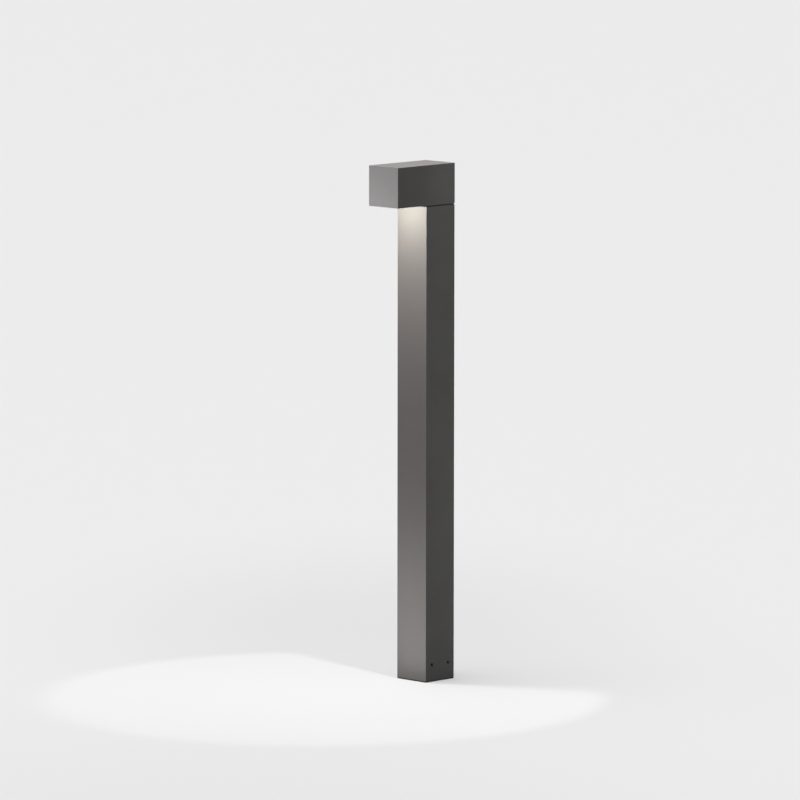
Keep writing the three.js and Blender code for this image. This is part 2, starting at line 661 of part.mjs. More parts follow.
function lensArray() {
  const plate = block([-15, LED.y - 6, LED.boardBottom - 1.6], [15, LED.y + 6, LED.boardBottom - FIT]);
  const domes = [];
  for (const x of [-11.25, -3.75, 3.75, 11.25]) {
    for (const y of [-3, 3]) {
      const dome = new THREE.SphereGeometry(2.6, 12, 8).rotateX(Math.PI / 2);
      domes.push(dome.translate(x, LED.y + y, LED.boardBottom - 1.6));
    }
  }
  // The upper half of each dome would reach into the board, so it is cut off level with the plate.
  return cut(join(plate, ...domes), block([-20, -20, LED.boardBottom - FIT], [20, 40, 60]));
}

function ledBoard() {
  const holes = SIDES.map(([, side]) => rod("z", M3 + FIT, 40, 60, side * BOARD_SCREW_X, LED.y + 1));
  return cut(block([-27, LED.y - 13, LED.boardBottom], [27, LED.y + 15.5, LED.boardTop]), ...holes);
}

function heatSpreader() {
  const { halfX, front, rear, bottom, top, pillarX } = SPREADER;
  const body = join(
    block([-halfX, front, bottom], [halfX, rear, top]),
    block([-pillarX, front + 2, top - 1], [pillarX, rear - 4, PAD.bottom - FIT]),
  );
  const holes = SIDES.flatMap(([, side]) => [
    rod("z", M4 + FIT, bottom - 1, top + 1, side * SPREADER_SCREW.x, SPREADER_SCREW.y),
    rod("z", M3 + FIT, bottom - 1, top + 1, side * BOARD_SCREW_X, LED.y + 1),
  ]);
  return cut(body, ...holes);
}

function thermalPad() {
  const { front, rear, pillarX } = SPREADER;
  return block([-pillarX, front + 2, PAD.bottom], [pillarX, rear - 4, PAD.top]);
}

const CONNECTOR = { front: 22.5, rear: 28.2 };

function ledConnector() {
  return block([-5, CONNECTOR.front, LED.boardBottom - 6], [5, CONNECTOR.rear, LED.boardBottom - FIT]);
}

/** A grommet for the LED lead in a hole of this radius, with a lip of its own radius at each end. */
function grommet(hole, lips, z0, z1) {
  const lipHeight = 1.3;
  const bore = LED_LEAD + FIT;
  const body = hole - FIT;
  const shape = turned([
    [0, z0 - lipHeight], [lips[0], z0 - lipHeight], [lips[0], z0], [body, z0], [body, z1], [lips[1], z1],
    [lips[1], z1 + lipHeight], [0, z1 + lipHeight],
  ], SMOOTH);
  return cut(shape, rod("z", bore, z0 - lipHeight - 1, z1 + lipHeight + 1));
}

/** From the driver's top, up through the neck and the head's floor, then forward to the LED board. */
function ledLead() {
  const start = DRIVER.top + DRIVER.ear - HEAD_BOTTOM;
  return cable([
    [0, LEAD_Y, DRIVER.top + FIT - HEAD_BOTTOM], [0, LEAD_Y, start + 4], [0, -3, start + 30], [0, 0, -14],
    [0, 0, 0], [0, 0, 14], [0, -5, 30], [0, -17, 41], [0, -30, LEAD_Z], [0, CHAMBER_REAR, LEAD_Z],
    [0, CONNECTOR.rear - SECTION + FIT, LEAD_Z],
  ], LED_LEAD, 6);
}

function buildHead() {
  add(head, "head_housing", headHousing(), graphite);
  for (const [name, side] of SIDES) {
    for (const [endName, end] of ENDS) {
      add(head, `head_screw_${name}_${endName}`, capScrew(M5, 20, 4.25, 5), stainless,
        [side * HEAD_SCREW, end * HEAD_SCREW, NECK.plate - HEAD_BOTTOM - FIT], HEAD_DOWN);
      add(optics, `frame_screw_${name}_${endName}`, countersunkScrew(M4, 16, 3.9), stainless,
        [side * FRAME_SCREW.x, end * FRAME_SCREW.y, FRAME.bottom + FIT], HEAD_DOWN);
    }
    add(optics, `spreader_screw_${name}`, capScrew(M4, 12, 3.5, 2.4), stainless,
      [side * SPREADER_SCREW.x, SPREADER_SCREW.y, SPREADER.bottom - FIT], HEAD_DOWN);
    add(optics, `board_screw_${name}`, capScrew(M3, 5, 2.7, 1.8), stainless,
      [side * BOARD_SCREW_X, LED.y + 1, LED.boardBottom - FIT], HEAD_DOWN);
  }
  add(head, "floor_grommet", grommet(FLOOR_HOLE, [8.6, 10.5], -FIT, WALL + FIT), blackRubber);
  add(head, "bulkhead_grommet", grommet(BULKHEAD_HOLE, [6, 6], -WALL - FIT, FIT), blackRubber,
    [0, -HALF, LEAD_Z], HEAD_TO_REAR);
  add(head, "led_lead", ledLead(), silicone);
  add(optics, "heat_spreader", heatSpreader(), bareAluminium);
  add(optics, "thermal_pad", thermalPad(), silicone);
  add(optics, "led_board", ledBoard(), circuitBoard);
  add(optics, "lens_array", lensArray(), lensPlastic);
  add(optics, "led_connector", ledConnector(), whitePlastic);
  add(optics, "reflector", reflector(), brightAluminium);
  add(optics, "safety_glass", safetyGlass(), glass);
  add(optics, "glass_gasket", glassGasket(), silicone);
  add(optics, "glass_frame", glassFrame(), graphite);
}

buildFoot();
buildPost();
buildHead();

export default bollard;
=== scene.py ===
"""Looks for the square bollard light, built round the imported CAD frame.

Metres, +Z up, the head reaches towards -Y, and the origin is on the ground under the post's axis.
Profiles of screws and cable glands are drawn in millimetres and scaled when they are placed.
"""

import json
import math

import bmesh
import bpy
from mathutils import Euler, Matrix, Vector
from mathutils.geometry import interpolate_bezier


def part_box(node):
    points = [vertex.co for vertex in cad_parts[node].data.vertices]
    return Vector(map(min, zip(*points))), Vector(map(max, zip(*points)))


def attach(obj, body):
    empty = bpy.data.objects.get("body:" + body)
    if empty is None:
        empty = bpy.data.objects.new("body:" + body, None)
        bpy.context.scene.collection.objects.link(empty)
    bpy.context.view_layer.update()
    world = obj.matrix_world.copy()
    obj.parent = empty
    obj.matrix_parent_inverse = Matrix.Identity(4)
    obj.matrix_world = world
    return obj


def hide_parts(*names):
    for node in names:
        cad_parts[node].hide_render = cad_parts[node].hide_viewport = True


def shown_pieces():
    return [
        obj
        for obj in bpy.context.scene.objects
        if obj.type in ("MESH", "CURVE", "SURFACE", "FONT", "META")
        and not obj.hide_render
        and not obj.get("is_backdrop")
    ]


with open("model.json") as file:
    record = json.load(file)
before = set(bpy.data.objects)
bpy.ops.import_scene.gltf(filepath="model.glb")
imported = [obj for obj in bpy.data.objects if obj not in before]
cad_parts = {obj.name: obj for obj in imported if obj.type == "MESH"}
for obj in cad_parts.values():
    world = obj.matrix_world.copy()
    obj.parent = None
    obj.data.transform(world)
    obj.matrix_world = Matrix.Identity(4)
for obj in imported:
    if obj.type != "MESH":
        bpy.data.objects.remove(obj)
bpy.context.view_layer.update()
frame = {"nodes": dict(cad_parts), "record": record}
NODES = frame["nodes"]
BODIES = frame["record"]["behaviour"]["bodies"]
BODY_OF = {node: body for body, nodes in BODIES.items() for node in nodes}
SLOT_OF = {part["node"]: part["material_slot"] for part in frame["record"]["subparts"]}

MM = 0.001
LEFT, RIGHT = Vector((-1, 0, 0)), Vector((1, 0, 0))
FRONT, REAR = Vector((0, -1, 0)), Vector((0, 1, 0))
DOWN, UP = Vector((0, 0, -1)), Vector((0, 0, 1))

SIDES = 36  # points round a small piece: a multiple of twelve, so that hexagons have true corners
SHARP = math.radians(32)  # a rebuilt piece stays crisp over edges sharper than this
HOLE = {"radius": 2.8 * MM, "depth": 5 * MM, "chamfer": 0.25 * MM}  # for the post's set screws
LENS_DOME = 2.6 * MM  # radius of each dome in the lens array
LENS_COLUMNS, LENS_ROWS = (-11.25, -3.75, 3.75, 11.25), (-3, 3)  # millimetres from its centre


# ---------------------------------------------------------------- camera


def add_camera():
    """The photograph's viewpoint: far away with a long lens, level with the top of the post."""
    yaw, pitch, roll = math.radians(44.48), math.radians(7.235), math.radians(0.055)
    across, up, distance = -0.04475, 0.48365, 12.79
    turn = Euler((math.pi / 2 - pitch, 0, yaw)).to_matrix()
    data = bpy.data.cameras.new("camera")
    data.sensor_width = 36
    data.lens = 331.0
    data.clip_start = 0.5
    data.clip_end = 400
    camera = bpy.data.objects.new("camera", data)
    camera.location = turn @ Vector((across, up, distance))
    camera.rotation_euler = (turn @ Matrix.Rotation(roll, 3, "Z")).to_euler()
    bpy.context.scene.collection.objects.link(camera)
    bpy.context.scene.camera = camera


# ---------------------------------------------------------------- materials


class Surface:
    """A Principled material and short ways to add procedural detail to it."""

    def __init__(self, name, color, roughness, metallic=0.0, **sockets):
        self.material = bpy.data.materials.new(name)
        self.material.use_nodes = True
        self.tree = self.material.node_tree
        self.shader = self.tree.nodes["Principled BSDF"]
        self.color = color
        sockets |= {"Base Color": (*color, 1), "Roughness": roughness, "Metallic": metallic}
        for socket_name, value in sockets.items():
            self.shader.inputs[socket_name].default_value = value
        self.place = self.node("ShaderNodeTexCoord").outputs["Object"]

    def node(self, kind, **settings):
        made = self.tree.nodes.new(kind)
        for name, value in settings.items():
            setattr(made, name, value)
        return made

    def link(self, source, target):
        self.tree.links.new(source, target)

    def stretched(self, scale):
        """Object coordinates scaled differently along each axis."""
        mapping = self.node("ShaderNodeMapping")
        mapping.inputs["Scale"].default_value = scale
        self.link(self.place, mapping.inputs["Vector"])
        return mapping.outputs["Vector"]

    def noise(self, size, detail=3.0, rough=0.55, place=None):
        """Noise whose blobs are about this size in metres."""
        made = self.node("ShaderNodeTexNoise")
        made.inputs["Scale"].default_value = 1 / size
        made.inputs["Detail"].default_value = detail
        made.inputs["Roughness"].default_value = rough
        self.link(place or self.place, made.inputs["Vector"])
        return made.outputs["Fac"]

    def cells(self, size):
        """Crystals of about this size in metres, each with its own random value."""
        made = self.node("ShaderNodeTexVoronoi")
        made.inputs["Scale"].default_value = 1 / size
        self.link(self.place, made.inputs["Vector"])
        return made.outputs["Color"]

    def away(self, centre, radii, turn=0.0):
        """Distance from a place, in units of these radii along axes turned about Z."""
        mapping = self.node("ShaderNodeMapping", vector_type="TEXTURE")
        mapping.inputs["Location"].default_value = centre
        mapping.inputs["Rotation"].default_value = (0, 0, turn)
        mapping.inputs["Scale"].default_value = radii
        self.link(self.place, mapping.inputs["Vector"])
        length = self.node("ShaderNodeVectorMath", operation="LENGTH")
        self.link(mapping.outputs["Vector"], length.inputs[0])
        return length.outputs["Value"]

    def spread(self, source, low, high, start=0.3, end=0.7, steps="LINEAR"):
        """The source from start to end, as a number from low to high."""
        made = self.node("ShaderNodeMapRange", interpolation_type=steps)
        limits = {"From Min": start, "From Max": end, "To Min": low, "To Max": high}
        for name, value in limits.items():
            made.inputs[name].default_value = value
        self.link(source, made.inputs["Value"])
        return made.outputs["Result"]

    def tint(self, source, dark, light, start=0.3, end=0.7):
        """Base colour that runs between two brightnesses of the material's own colour."""
        ramp = self.node("ShaderNodeValToRGB")
        ramp.color_ramp.interpolation = "EASE"
        stops = zip(ramp.color_ramp.elements, (start, end), (dark, light))
        for stop, position, brightness in stops:
            stop.position = position
            stop.color = (*(c * brightness for c in self.color), 1)
        self.link(source, ramp.inputs["Fac"])
        self.link(ramp.outputs["Color"], self.shader.inputs["Base Color"])

    def rough(self, source, low, high):
        self.link(self.spread(source, low, high), self.shader.inputs["Roughness"])

    def bump(self, *layers):
        """Each layer is a height source and its depth in metres."""
        normal = None
        for source, depth in layers:
            made = self.node("ShaderNodeBump")
            made.inputs["Distance"].default_value = depth
            self.link(source, made.inputs["Height"])
            if normal:
                self.link(normal, made.inputs["Normal"])
            normal = made.outputs["Normal"]
        self.link(normal, self.shader.inputs["Normal"])


def powder_coat(name, color, roughness):
    """Fine-textured powder coating: a close leathery grain over a slight orange peel."""
    s = Surface(name, color, roughness)
    grain = s.noise(0.9 * MM, 2.0)
    peel = s.noise(6 * MM, 2.0)
    cloud = s.noise(60 * MM, 3.0)
    s.tint(grain, 0.93, 1.07)
    s.rough(cloud, roughness - 0.04, roughness + 0.04)
    s.bump((peel, 0.04 * MM), (grain, 0.06 * MM))
    return s.material


def casting(name, color):
    """Sand-textured casting under a matt dip coat."""
    s = Surface(name, color, 0.62)
    sand = s.noise(1.6 * MM, 5.0, 0.65)
    s.tint(s.noise(12 * MM, 4.0), 0.75, 1.3)
    s.rough(sand, 0.55, 0.75)
    s.bump((s.noise(7 * MM, 2.0), 0.2 * MM), (sand, 0.12 * MM))
    return s.material


def machined(name, color):
    """Aluminium with the faint parallel lines of a cutter."""
    s = Surface(name, color, 0.38, 1.0)
    lines = s.noise(1 * MM, 2.0, place=s.stretched((1, 0.02, 1)))
    s.tint(lines, 0.85, 1.1)
    s.rough(lines, 0.3, 0.45)
    s.bump((lines, 0.02 * MM))
    return s.material


def bright_sheet(name, color):
    """Bright anodised sheet with very slight hammering."""
    s = Surface(name, color, 0.1, 1.0)
    waves = s.noise(9 * MM, 1.0)
    s.rough(waves, 0.07, 0.16)
    s.bump((waves, 0.1 * MM))
    return s.material


def galvanised(name, color):
    """Zinc with its spangle of crystals."""
    s = Surface(name, color, 0.4, 1.0)
    crystals = s.cells(3 * MM)
    s.tint(crystals, 0.84, 1.08, 0.2, 0.8)
    s.rough(crystals, 0.32, 0.46)
    s.bump((s.noise(1.5 * MM, 3.0), 0.02 * MM))
    return s.material


def steel(name, color):
    """Satin stainless steel with a fine drawn grain."""
    s = Surface(name, color, 0.3, 1.0)
    grain = s.noise(0.4 * MM, 2.0)
    s.tint(s.noise(2.5 * MM, 2.0), 0.8, 1.1)
    s.rough(grain, 0.22, 0.4)
    s.bump((grain, 0.01 * MM))
    return s.material


def moulding(name, color, roughness, grain=0.7 * MM, depth=0.03 * MM):
    """Moulded plastic or rubber with a spark-eroded grain."""
    s = Surface(name, color, roughness)
    fine = s.noise(grain, 3.0)
    s.tint(s.noise(15 * MM, 3.0), 0.92, 1.06)
    s.rough(fine, roughness - 0.06, roughness + 0.08)
    s.bump((fine, depth))
    return s.material


def clear_glass(name, color):
    """Clear glass, a touch hazier in places."""
    s = Surface(name, color, 0.02, **{"Transmission Weight": 1.0, "IOR": 1.5})
    s.rough(s.noise(40 * MM, 3.0), 0.01, 0.05)
    return s.material


def lit_lens(name, color, strength):
    """Lens plastic that glows warm white: the domes' tips the most, the plate behind the least."""
    s = Surface(name, color, 0.15, **{"Emission Color": (1.0, 0.80, 0.56, 1)})
    tips = (0, 0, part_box("lens_array")[0].z)
    level_only = (1000, 1000, LENS_DOME)  # so wide that only the height counts
    depth = s.away(tips, level_only)
    glow = s.spread(depth, strength, 0.12 * strength, 0, 1)
    s.link(glow, s.shader.inputs["Emission Strength"])
    s.bump((s.noise(0.8 * MM, 1.0), 0.03 * MM))
    return s.material


SLOT_MATERIALS = {
    "graphite_coating": powder_coat("graphite_coating", (0.041, 0.039, 0.0375), 0.5),
    "dark_casting": casting("dark_casting", (0.022, 0.021, 0.020)),
    "bare_aluminium": machined("bare_aluminium", (0.62, 0.63, 0.64)),
    "bright_reflector": bright_sheet("bright_reflector", (0.90, 0.90, 0.89)),
    "galvanised_sheet": galvanised("galvanised_sheet", (0.55, 0.56, 0.57)),
    "black_steel": steel("black_steel", (0.035, 0.034, 0.033)),
    "stainless_steel": steel("stainless_steel", (0.50, 0.49, 0.47)),
    "clear_glass": clear_glass("clear_glass", (0.95, 0.98, 0.97)),
    "grey_silicone": moulding("grey_silicone", (0.22, 0.23, 0.24), 0.6),
    "black_rubber": moulding("black_rubber", (0.020, 0.020, 0.021), 0.62),
    "black_plastic": moulding("black_plastic", (0.026, 0.026, 0.028), 0.42),
    "grey_plastic": moulding("grey_plastic", (0.42, 0.43, 0.43), 0.45),
    "white_plastic": moulding("white_plastic", (0.72, 0.72, 0.69), 0.38, 1.2 * MM, 0.02 * MM),
    "white_solder_mask": moulding("white_solder_mask", (0.78, 0.78, 0.75), 0.3, 2 * MM, 0.01 * MM),
    "lit_lens": lit_lens("lit_lens", (0.9, 0.86, 0.76), 5.0),
}


# ---------------------------------------------------------------- rings of points


def ring(radius_at, z):
    """One level of a round piece, from its radius at each angle."""
    angles = [math.tau * k / SIDES for k in range(SIDES)]
    return [Vector((radius_at(a) * math.cos(a), radius_at(a) * math.sin(a), z)) for a in angles]


def circle(radius, z):
    return ring(lambda angle: radius, z)


def hexagon(across, z):
    """A hexagon with this size across its flats."""
    side = math.radians(60)
    return ring(lambda angle: across / 2 / math.cos((angle + side / 2) % side - side / 2), z)


def ribbed(radius, depth, z):
    """A circle with twelve flutes, for grip."""
    return ring(lambda angle: radius - depth * (0.5 + 0.5 * math.cos(12 * angle)), z)


def thread(radius, pitch, low, high):
    """Rings up a shank with a helical thread, which runs out smoothly at both ends."""
    depth = 0.55 * pitch
    rings_a_turn = 6
    steps = math.ceil(rings_a_turn * (high - low) / pitch)
    rings = []
    for i in range(steps + 1):
        z = low + (high - low) * i / steps
        cut = depth * min(1.0, (z - low) / pitch, (high - z) / pitch)
        turn = math.tau * z / pitch
        rings.append(ring(lambda angle: radius - cut * (0.5 - 0.5 * math.cos(turn - angle)), z))
    return rings


def rounded_outline(x0, y0, x1, y1, radius, z):
    """A rectangle with round corners at one level, anticlockwise from its right rear corner."""
    left, right, front, rear = x0 + radius, x1 - radius, y0 + radius, y1 - radius
    centres = ((right, rear), (left, rear), (left, front), (right, front))
    steps = 6
    points = []
    for quarter, (x, y) in enumerate(centres):
        for i in range(steps + 1):
            angle = math.pi / 2 * (quarter + i / steps)
            points.append(Vector((x + radius * math.cos(angle), y + radius * math.sin(angle), z)))
    return points


# ---------------------------------------------------------------- meshes and pieces


def skin(rings, closed=False):
    """A surface over rings of equally many points, with two flat caps or joined up with itself."""
    bm = bmesh.new()
    made = [[bm.verts.new(point) for point in points] for points in rings]
    bands = list(zip(made, made[1:]))
    if closed:
        bands.append((made[-1], made[0]))
    count = len(made[0])
    for low, high in bands:
        for k in range(count):
            n = (k + 1) % count
            bm.faces.new((low[k], low[n], high[n], high[k]))
    if not closed:
        bm.faces.new(list(reversed(made[0])))
        bm.faces.new(made[-1])
    bmesh.ops.recalc_face_normals(bm, faces=bm.faces)
    return bm


def placed(bm, place, facing=UP, scale=1.0):
    """The mesh scaled, turned from up to the way it faces, and moved to its place."""
    turn = UP.rotation_difference(facing).to_matrix().to_4x4()
    bm.transform(Matrix.Translation(place) @ turn @ Matrix.Scale(scale, 4))
    return bm


def merged(meshes):
    """Separate closed surfaces as one mesh."""
    total = bmesh.new()
    for bm in meshes:
        part = bpy.data.meshes.new("part")
        bm.to_mesh(part)
        bm.free()
        total.from_mesh(part)
        bpy.data.meshes.remove(part)
    return total


def smooth(mesh):
    """Smooth shading, except over sharp edges."""
    for polygon in mesh.polygons:
        polygon.use_smooth = True
    mesh.set_sharp_from_angle(angle=SHARP)


def to_object(name, bm):
    mesh = bpy.data.meshes.new(name)
    bm.to_mesh(mesh)
    bm.free()
    smooth(mesh)
    made = bpy.data.objects.new(name, mesh)
    bpy.context.scene.collection.objects.link(made)
    return made


def combine(base, tool, operation):
    """Cuts the base by the tool, or joins it on. The tool is used up."""
    step = base.modifiers.new("combine", "BOOLEAN")
    step.operation = operation
    step.solver = "EXACT"
    step.object = tool
    final = base.evaluated_get(bpy.context.evaluated_depsgraph_get())
    mesh = bpy.data.meshes.new_from_object(final)
    base.modifiers.clear()
    base.data = mesh
    smooth(mesh)
    bpy.data.objects.remove(tool)


def stands_for(piece, node):
    """The piece takes the CAD node's place, finish and body."""
    normals = piece.modifiers.new("normals", "WEIGHTED_NORMAL")
    normals.keep_sharp = True
    piece.data.materials.append(SLOT_MATERIALS[SLOT_OF[node]])
    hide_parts(node)
    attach(piece, BODY_OF[node])
    return piece


def refine(node):
    """Gives a CAD node soft edges and smooth curves by modifiers, and its material."""
    weld = node.modifiers.new("weld", "WELD")
    weld.merge_threshold = 0.002 * MM
    flat = node.modifiers.new("flat", "DECIMATE")
    flat.decimate_type = "DISSOLVE"
    flat.angle_limit = math.radians(1)
    edges = node.modifiers.new("edges", "BEVEL")
    edges.width = 0.25 * MM
    edges.segments = 2
    edges.limit_method = "ANGLE"
    edges.angle_limit = math.radians(50)
    edges.use_clamp_overlap = True
    for polygon in node.data.polygons:
        polygon.use_smooth = True
    normals = node.modifiers.new("normals", "WEIGHTED_NORMAL")
    normals.keep_sharp = True
    node.data.materials.clear()
    node.data.materials.append(SLOT_MATERIALS[SLOT_OF[node.name]])


# ---------------------------------------------------------------- screws, drawn in millimetres

PITCH = {1.5: 0.5, 2.0: 0.7, 2.5: 0.8}  # of a metric thread, by its radius


def socket(across, face, depth):
    """Rings down a hexagon socket: its chamfered mouth, its walls and the drill's cone."""
    mouth, cone = 0.61 * across, 0.12 * across
    chamfer, drill = 0.15, 0.2
    bottom = face - depth
    return [circle(mouth, face), hexagon(across, face - chamfer), hexagon(across, bottom),
            circle(cone, bottom - drill)]


def washer_rings(radius, top):
    """A plain washer with its edges broken, from z = 0."""
    return [circle(radius - 0.1, 0), circle(radius, 0.1), circle(radius, top - 0.15),
            circle(radius - 0.15, top)]


def cap_screw(radius, length, head_radius, head_height, washer=0.0):
    """A screw up Z with its head above z = 0, over a washer of this radius if it has one."""
    seat = 1.0 if washer else 0.0
    return [
        circle(radius - 0.5, -length),
        *thread(radius, PITCH[radius], 0.4 - length, -0.3),
        circle(radius, 0),
        *(washer_rings(washer, seat) if washer else ()),
        circle(head_radius - 0.15, seat),
        circle(head_radius, seat + 0.15),
        circle(head_radius, head_height - 0.35),
        circle(head_radius - 0.12, head_height - 0.1),
        circle(head_radius - 0.4, head_height),
        *socket(1.6 * radius, head_height, 0.55 * head_height),
    ]


def countersunk_screw(radius, length, head_radius):
    """A screw up Z with its flat face at z = 0."""
    cone = head_radius - radius
    return [
        circle(radius - 0.5, -length),
        *thread(radius, PITCH[radius], 0.4 - length, -cone - 0.2),
        circle(radius, -cone),
        circle(head_radius - 0.12, -0.14),
        circle(head_radius, -0.05),
        circle(head_radius - 0.08, 0),
        *socket(1.3 * radius, 0, 0.6 * radius),
    ]


def set_screw(radius, length):
    """A headless screw up Z with a cup point and its socket end at z = 0."""
    return [
        circle(0.3, 0.9 - length),
        circle(radius - 1.1, -length),
        circle(radius - 0.75, -length),
        *thread(radius, PITCH[radius], 0.55 - length, -0.25),
        circle(radius - 0.3, 0),
        *socket(radius, 0, radius),
    ]


SCREWS = {  # by the start of their nodes' names: their rings, and the way their heads face
    "foot_set_screw_left": (set_screw(2.5, 6.2), LEFT),
    "foot_set_screw_right": (set_screw(2.5, 6.2), RIGHT),
    "neck_set_screw": (set_screw(2.5, 7.3), REAR),
    "earth_screw": (cap_screw(2.0, 6, 3.5, 3.6, washer=5.4), UP),
    "bracket_screw": (cap_screw(2.0, 6.4, 3.5, 2.2), FRONT),
    "cover_screw": (cap_screw(1.5, 12, 2.7, 1.8), FRONT),
    "box_screw": (cap_screw(2.0, 5.5, 3.5, 2.2), FRONT),
    "tray_screw": (cap_screw(2.0, 6.5, 3.5, 2.2), REAR),
    "driver_screw": (cap_screw(1.5, 6, 2.7, 1.8), REAR),
    "head_screw": (cap_screw(2.5, 20, 4.25, 5), DOWN),
    "frame_screw": (countersunk_screw(2.0, 16, 3.9), DOWN),
    "spreader_screw": (cap_screw(2.0, 12, 3.5, 2.4), DOWN),
    "board_screw": (cap_screw(1.5, 5, 2.7, 1.8), DOWN),
}


def add_screw(node, rings, facing):
    """A threaded screw where the CAD has a plain one, its head's face level with the CAD's."""
    low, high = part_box(node)
    reach = (high - low).dot(Vector(abs(c) for c in facing)) / 2
    top = max(point.z for points in rings for point in points) * MM
    place = (low + high) / 2 + facing * (reach - top)
    stands_for(to_object("threaded_" + node, placed(skin(rings), place, facing, MM)), node)


def add_screws():
    for start, (rings, facing) in SCREWS.items():
        for node in sorted(n for n in NODES if n.startswith(start)):
            add_screw(node, rings, facing)


# ---------------------------------------------------------------- post tube


def tube_profile(wall, bottom, top, edge):
    """(inset, level) pairs round the section of a tube's wall, with every edge rounded."""
    steps = 4
    corners = (
        (edge, bottom + edge, math.pi), (edge, top - edge, math.pi / 2),
        (wall - edge, top - edge, 0), (wall - edge, bottom + edge, -math.pi / 2),
    )
    pairs = []
    for inset, level, start in corners:
        for i in range(steps + 1):
            angle = start - math.pi / 2 * (i / steps) + math.pi / 2
            pairs.append((inset - edge * math.sin(angle), level + edge * math.cos(angle)))
    return pairs


def hole_cutter(node):
    """A drill with a chamfered mouth, for the hole that a set screw sits in."""
    low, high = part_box(node)
    middle = (low + high) / 2
    facing = max((LEFT, RIGHT, REAR), key=lambda way: way.dot(middle))
    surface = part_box("post_tube")[1].x
    radius, mouth = HOLE["radius"], HOLE["radius"] + HOLE["chamfer"]
    rings = [circle(radius, surface - HOLE["depth"]), circle(radius, surface - HOLE["chamfer"]),
             circle(mouth, surface), circle(mouth, surface + MM)]
    return placed(skin(rings), middle - facing * middle.dot(facing), facing)


def add_post_tube():
    """The extruded tube with its fine round edges and its drilled and chamfered holes."""
    low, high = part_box("post_tube")
    wall, edge = 3 * MM, 0.25 * MM
    outer_corner, least_corner = 0.5 * MM, 0.2 * MM
    rings = []
    for inset, level in tube_profile(wall, low.z, high.z, edge):
        corner = max(outer_corner - inset, least_corner)
        rings.append(rounded_outline(
            low.x + inset, low.y + inset, high.x - inset, high.y - inset, corner, level))
    tube = to_object("post_shell", skin(rings, closed=True))
    drills = merged(hole_cutter(n) for n in sorted(NODES) if "_set_screw_" in n)
    combine(tube, to_object("drills", drills), "DIFFERENCE")
    return stands_for(tube, "post_tube")


# ---------------------------------------------------------------- optics


def lens_dome():
    """One dome that points down from z = 0, with a collar that sinks into the plate."""
    slopes = [math.radians(84 - 7 * i) for i in range(13)]  # from the tip to the foot
    arc = [(LENS_DOME * math.cos(a), -LENS_DOME * math.sin(a)) for a in slopes]
    collar = 2.85 * MM
    return arc + [(collar, -0.1 * MM), (collar, 0.5 * MM)]


def add_lens_array():
    """A clear plate with a smooth dome over each of its eight light-emitting diodes."""
    low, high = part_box("lens_array")
    corner, edge = 1.2 * MM, 0.3 * MM
    bottom = low.z + LENS_DOME
    sides = ((edge, bottom), (0, bottom + edge), (0, high.z - edge), (edge, high.z))
    plate = to_object("lens_domes", skin([
        rounded_outline(low.x + e, low.y + e, high.x - e, high.y - e, corner - e, z)
        for e, z in sides]))
    middle = (low.y + high.y) / 2
    dome = [circle(radius, bottom + z) for radius, z in lens_dome()]
    domes = merged(placed(skin(dome), (x * MM, middle + y * MM, 0))
                   for x in LENS_COLUMNS for y in LENS_ROWS)
    combine(plate, to_object("domes", domes), "UNION")
    stands_for(plate, "lens_array")


def reflector_level(t, grow):
    """The opening's outline from t = 0 at the window to 1 at the lenses, grown all round."""
    low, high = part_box("reflector")
    middle = (low.y + high.y) / 2
    window_x, window_y = 26.5 * MM, 20.5 * MM
    throat_x, throat_front, throat_rear = 16.5 * MM, 5 * MM, 21 * MM
    corner, curve = 1.5 * MM, 1.6
    part = 1 - t**curve  # how far it is open: 1 at the window
    x = throat_x + part * (window_x - throat_x) + grow
    front = middle + (1 - part) * throat_front - part * window_y - grow
    rear = middle + (1 - part) * throat_rear + part * window_y + grow
    return rounded_outline(-x, front, x, rear, corner + grow, low.z + t * (high.z - low.z))


def add_reflector():
    """Bright sheet that opens from the lenses to the whole window, with a flange round it."""
    low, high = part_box("reflector")
    sheet, flange, steps = 1.1 * MM, 1 * MM, 24
    flange_top = low.z + flange
    inside = [reflector_level(i / steps, 0) for i in range(steps + 1)]
    outside = [reflector_level(i / steps, sheet) for i in range(steps, 0, -1)]
    outside = [level for level in outside if level[0].z > flange_top]
    edge = [rounded_outline(low.x, low.y, high.x, high.y, 2 * MM, z) for z in (flange_top, low.z)]
    bm = skin(inside + outside + edge, closed=True)
    stands_for(to_object("reflector_sheet", bm), "reflector")


# ---------------------------------------------------------------- cable glands and leads


def gland_rings(height):
    """Up a gland of this height: its fluted dome nut, hexagon body and stem, round one bore."""
    bore, stem, grip, flats = 4, 6, 7.2, 14  # radii, and the hexagon's size across its flats
    stem_height, stem_pitch, body_height = 6, 1.5, 7.7
    flute, chamfer = 0.35, 0.4
    seat = height - stem_height
    body = seat - body_height
    nut_face, nut_shoulder, flutes_start = 5.2, 3.1, 3.4
    return [
        circle(bore, chamfer), circle(bore + chamfer, 0),
        circle(nut_face, 0), circle(nut_face + 0.7, 0.5), circle(grip - 0.1, nut_shoulder),
        ribbed(grip, flute, flutes_start), ribbed(grip, flute, body - 0.9),
        circle(grip - 0.3, body - 0.3),
        hexagon(flats - 0.6, body - 0.3), hexagon(flats, body + 0.1),
        hexagon(flats, seat - 0.7), hexagon(flats - 0.6, seat - 0.3),
        circle(stem, seat - 0.3), *thread(stem, stem_pitch, seat, height - chamfer),
        circle(stem - 0.5, height), circle(bore + chamfer, height), circle(bore, height - chamfer),
    ]


def add_gland(node):
    low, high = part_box(node)
    bm = skin(gland_rings((high.z - low.z) / MM), closed=True)
    centre = (low + high) / 2
    place = (centre.x, centre.y, low.z)
    stands_for(to_object("ribbed_" + node, placed(bm, place, scale=MM)), node)


